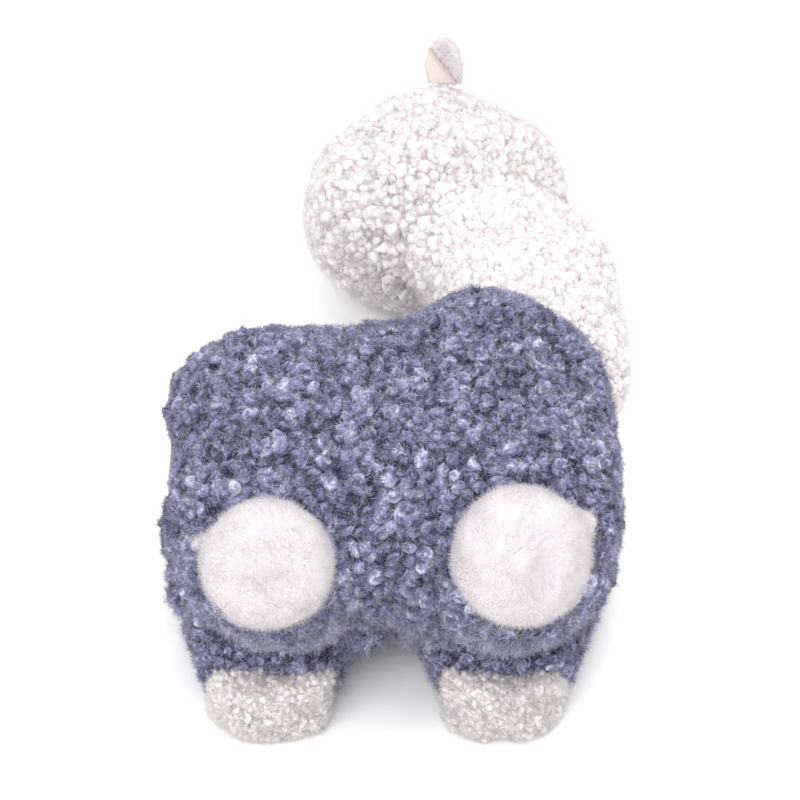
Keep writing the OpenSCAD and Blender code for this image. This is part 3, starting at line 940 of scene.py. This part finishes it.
def sleeve(leg):
    """The fleece round the root of a leg, from the torso to the leg."""
    hip, way = joint_at(leg + "_leg_swing"), leg_way(leg)
    seed = 900 + 40 * LEGS.index(leg)
    build = bmesh.new()
    if leg in UP_LEGS:
        for side in all_round(way, 20):
            tapered(build, hip + side * 19 * MM, hip + way * 11 * MM + side * 19 * MM, 7 * MM, 5 * MM, 3)
    else:
        cuff = 15 * MM
        spots = [(x, -12, z) for x in (-11, 11) for z in (0, 13)]
        spots += [(x, 8, z) for x in (-17, 17) for z in (0, 15)]
        hull_of_balls(build, [hip + np.array(spot) * MM for spot in spots], cuff)
    skin = skin_from(build, leg + "_sleeve_skin", GREY, 2.5 * MM, 5)
    rest_on_floor(skin)
    # Painted shade: the skin is painted nearly the crevices' dark, where it shows between the curls.
    flat_shade(skin, 0.12, seed=seed)
    bends = [skin]
    points, normals = scatter(skin, 3.1 * MM, seed + 1, above_floor)
    coat = curls(leg + "_sleeve_curls", points, normals, 3.3 * MM, GREY, seed + 2)
    bends.append(coat[0])
    fuzz_length = 3.4 * MM if leg in LOW_LEGS else 2.2 * MM
    bends.append(fuzz_on(leg + "_sleeve_fuzz", coat, normals, 20000, fuzz_length, seed + 3))
    for piece in bends:
        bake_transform(piece)
    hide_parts(leg + "_sleeve")


# ---------------------------------------------------------------- tail, neck and head


def make_tail():
    root = joint_at("tail_flop")
    build = bmesh.new()
    tapered(build, root, root + np.array([-6, 5.5, 0]) * MM, 9.5 * MM, 8 * MM, 4)
    skin = skin_from(build, "tail_skin", GREY, 1.5 * MM, 4)
    # Painted shade: the skin is painted nearly the crevices' dark, where it shows between the curls.
    flat_shade(skin, 0.12, seed=9)
    ride = rider("tail")
    ride(skin)
    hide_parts("tail_fleece")
    split_fleece("tail", skin, 3.1 * MM, 3.3 * MM, 500, ride, 6000)


def make_neck():
    root = joint_at("neck_swing")
    top = joint_at("head_nod")
    build = bmesh.new()
    inset = 3 * MM
    bend = root + np.array([1, 52, -3]) * MM
    end = bend + np.array([-22, 30, -4]) * MM
    tapered(build, root, bend, 40.5 * MM - inset, 37 * MM - inset)
    tapered(build, bend, end, 37 * MM - inset, 33 * MM - inset)
    skin = skin_from(build, "neck_skin", CREAM, 3 * MM, 10)
    puff(skin, 3 * MM)
    points = points_of(skin)
    push(skin, 1.6 * MM * lumps(points, 45, 21))
    rest_on_floor(skin)
    flat_shade(skin, 0.5, seed=22)
    ride = rider("neck")
    ride(skin)
    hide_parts("neck_fleece")

    def outside_head(points, normals):
        return np.linalg.norm(points - top, axis=1) > 44 * MM

    split_fleece("neck", skin, 2.9 * MM, 4.3 * MM, 600, ride, 70000, outside_head, pieces=4,
                 reach=0.75, clump=1.1 * MM, clump_scale=140)


def make_head():
    centre = joint_at("head_nod")
    inset = 4 * MM
    build = bmesh.new()
    for shift, radius in (((0, 0, 0), 48.5), ((-13, -3, -2), 43.5), ((11, 2, -2), 43.5)):
        ball(build, Vector(centre) + Vector(shift) * MM, radius * MM - inset, 5)
    skin = skin_from(build, "head_skin", CREAM, 3 * MM, 10)
    puff(skin, 3 * MM)
    points = points_of(skin)
    face = np.mean(box_of("face_patch"), axis=0)
    from_face = np.linalg.norm(points - face, axis=1)
    hood = 1.5 * MM * np.exp(-(((from_face - 25 * MM) / (6 * MM)) ** 2))
    push(skin, 1.8 * MM * lumps(points, 42, 31) + hood)
    rest_on_floor(skin)
    flat_shade(skin, 0.5, seed=32)
    ride = rider("head")
    ride(skin)
    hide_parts("head_fleece")

    def off_face(points, normals):
        return np.linalg.norm(points - face, axis=1) > 21 * MM

    split_fleece("head", skin, 2.9 * MM, 4.3 * MM, 700, ride, 100000, off_face, pieces=6,
                 reach=0.75, clump=1.1 * MM, clump_scale=140)


# ---------------------------------------------------------------- ears and face


def cad_copy(node, name, material, voxel, smooth=3):
    """A softened copy of a CAD solid, to stand for it."""
    build = bmesh.new()
    build.from_mesh(frame["nodes"][node].data)
    return skin_from(build, name, material, voxel, smooth)


def ear_frame(side):
    """An ear's root, the way across it, up it and out of its velour face."""
    joint = JOINTS[f"{side}_ear_flop"]
    across = unit(np.array(joint["axis"]))
    angle = math.radians(50 if side == "right" else -14)
    up = np.array([0.0, math.cos(angle), math.sin(angle)])
    return np.array(joint["pos_m"]), across, up, np.cross(across, up)


EAR_HEIGHT = 19 * MM
EAR_HALF = 8.0 * MM
EAR_WIDEST = 0.35  # as a share of its height


def ear_half(t):
    """Half the leaf's width at a share t of its height."""
    if t < EAR_WIDEST:
        return EAR_HALF * (0.86 + 0.4 * t)
    return EAR_HALF * math.sqrt(max(0.0, 1 - ((t - EAR_WIDEST) / 0.66) ** 2))


VELOUR_TOP = 0.8  # the share of the ear's height at which the fold has crossed the velour


def ear_fold(t):
    """Where the fleece folds over the velour's right-hand edge, which runs slantwise up the ear."""
    return -ear_half(t) + (ear_half(t) + EAR_HALF * 0.9) * max(0.0, 1 - t / VELOUR_TOP) ** 0.9


def ear_part(name, side, left, right, front, back, material, top=0.985):
    """A leaf-shaped layer of an ear between two edges, with its front and back given in depth."""
    root, across, up, out = ear_frame(side)
    rings = []
    for t in np.linspace(0.02, top, 22):
        xs = np.linspace(left(t), right(t), 9)
        cup = [1.8 * MM * (x / EAR_HALF) ** 2 for x in xs]
        line = [(x, front(x, t) + c) for x, c in zip(xs, cup)]
        line += [(x, back + c) for x, c in zip(xs[::-1], cup[::-1])]
        lean = 2.5 * MM * t**2
        rings.append([root + across * x + up * (t * EAR_HEIGHT - MM) + out * (y + lean) for x, y in line])
    return loft(name, np.array(rings), material)


def make_ear(side):
    root, across, up, out = ear_frame(side)
    body = f"{side}_ear"
    velour = ear_part(f"{side}_ear_leaf", side, lambda t: -ear_half(t), ear_fold,
                      lambda x, t: 1.4 * MM, 0.2 * MM, VELOUR, VELOUR_TOP - 0.02)
    rider(body)(velour)
    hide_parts(f"{side}_ear_velour")
    edge = [root + across * (ear_fold(t) - 0.2 * MM) + up * (t * EAR_HEIGHT - MM)
            + out * (1.6 * MM + 1.8 * MM * (ear_fold(t) / EAR_HALF) ** 2 + 2.5 * MM * t**2)
            for t in np.linspace(0.03, VELOUR_TOP - 0.02, 20)]
    build = bmesh.new()
    for a, b in zip(edge, edge[1:]):
        tapered(build, a, b, 0.75 * MM, 0.75 * MM, 2)
    rim = skin_from(build, f"{side}_ear_rim", RIM, 0.35 * MM, 3)
    rider(body)(rim)

    def folded(x, t):
        return 0.1 * MM + 2.2 * MM * min(1.0, max(0.0, (x - ear_fold(t)) / (1.5 * MM)))

    # Painted shade: the ear's cream fleece is drawn in the greyer white plush, for the shade that lies on it.
    back = ear_part(f"{side}_ear_back", side, lambda t: -ear_half(t) - 0.3 * MM,
                    lambda t: ear_half(t) + 0.8 * MM, folded, -2.2 * MM, PLUSH)
    flat_shade(back, 0.6)
    ride = rider(body)
    ride(back)
    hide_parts(f"{side}_ear_fleece")
    seed = 800 if side == "right" else 850

    def off_velour(points, normals):
        local = points - root
        t = (local @ up + MM) / EAR_HEIGHT
        fold = np.array([ear_fold(float(min(max(v, 0.0), 1.0))) for v in t])
        return (normals @ out < 0.2) | (local @ across > fold + 1.2 * MM)

    points, normals = scatter(back, 0.55 * MM, seed, off_velour)
    # Painted shade: the fluff too is drawn in the greyer white plush.
    ride(fibres(f"{side}_ear_fluff", points, normals, 3.0 * MM, 0.26 * MM, PLUSH, seed + 1,
                lean=up * 0.4, stray=0.6, shade=0.8))


def make_face():
    for node, name, material, slot in (("face_patch", "face_cloth", VELOUR, "beige_velour"),
                                       ("muzzle", "muzzle_pad", VELOUR, "beige_velour"),
                                       ("nose", "nose_pad", PINK, "pink_thread")):
        piece = cad_copy(node, name, material, 0.6 * MM, 2)
        rider("head")(piece)
        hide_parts(node)
    finishes = {"mouth_stitch": PINK, "right_eye": EYE, "left_eye": EYE,
                "right_eye_washer": WASHER, "left_eye_washer": WASHER}
    for node, material in finishes.items():
        mesh = frame["nodes"][node].data
        mesh.materials.clear()
        mesh.materials.append(material)


def make_stuffing():
    """The fibre fill inside each stuffed part, lumpy and a little smaller than the room it has."""
    nodes = [n for n in frame["nodes"] if n.endswith("_stuffing")]
    for i, node in enumerate(sorted(nodes)):
        body = next(b for b, ns in frame["record"]["behaviour"]["bodies"].items() if node in ns)
        fill = cad_copy(node, node.replace("stuffing", "fill"), FIBRE, 3 * MM, 2)
        points = points_of(fill)
        room = 5 * MM if "body" in node else 1 * MM
        push(fill, -room - 0.5 * MM * lumps(points, 120, i))
        flat_shade(fill, 0.6)
        rider(body)(fill)
        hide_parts(node)


make_camera()
make_studio()
make_torso()
for leg in UP_LEGS:
    upper_leg(leg)
for leg in LOW_LEGS:
    lower_leg(leg)
for leg in LEGS:
    sleeve(leg)
make_tail()
make_neck()
make_head()
for side in ("right", "left"):
    make_ear(side)
make_face()
make_stuffing()
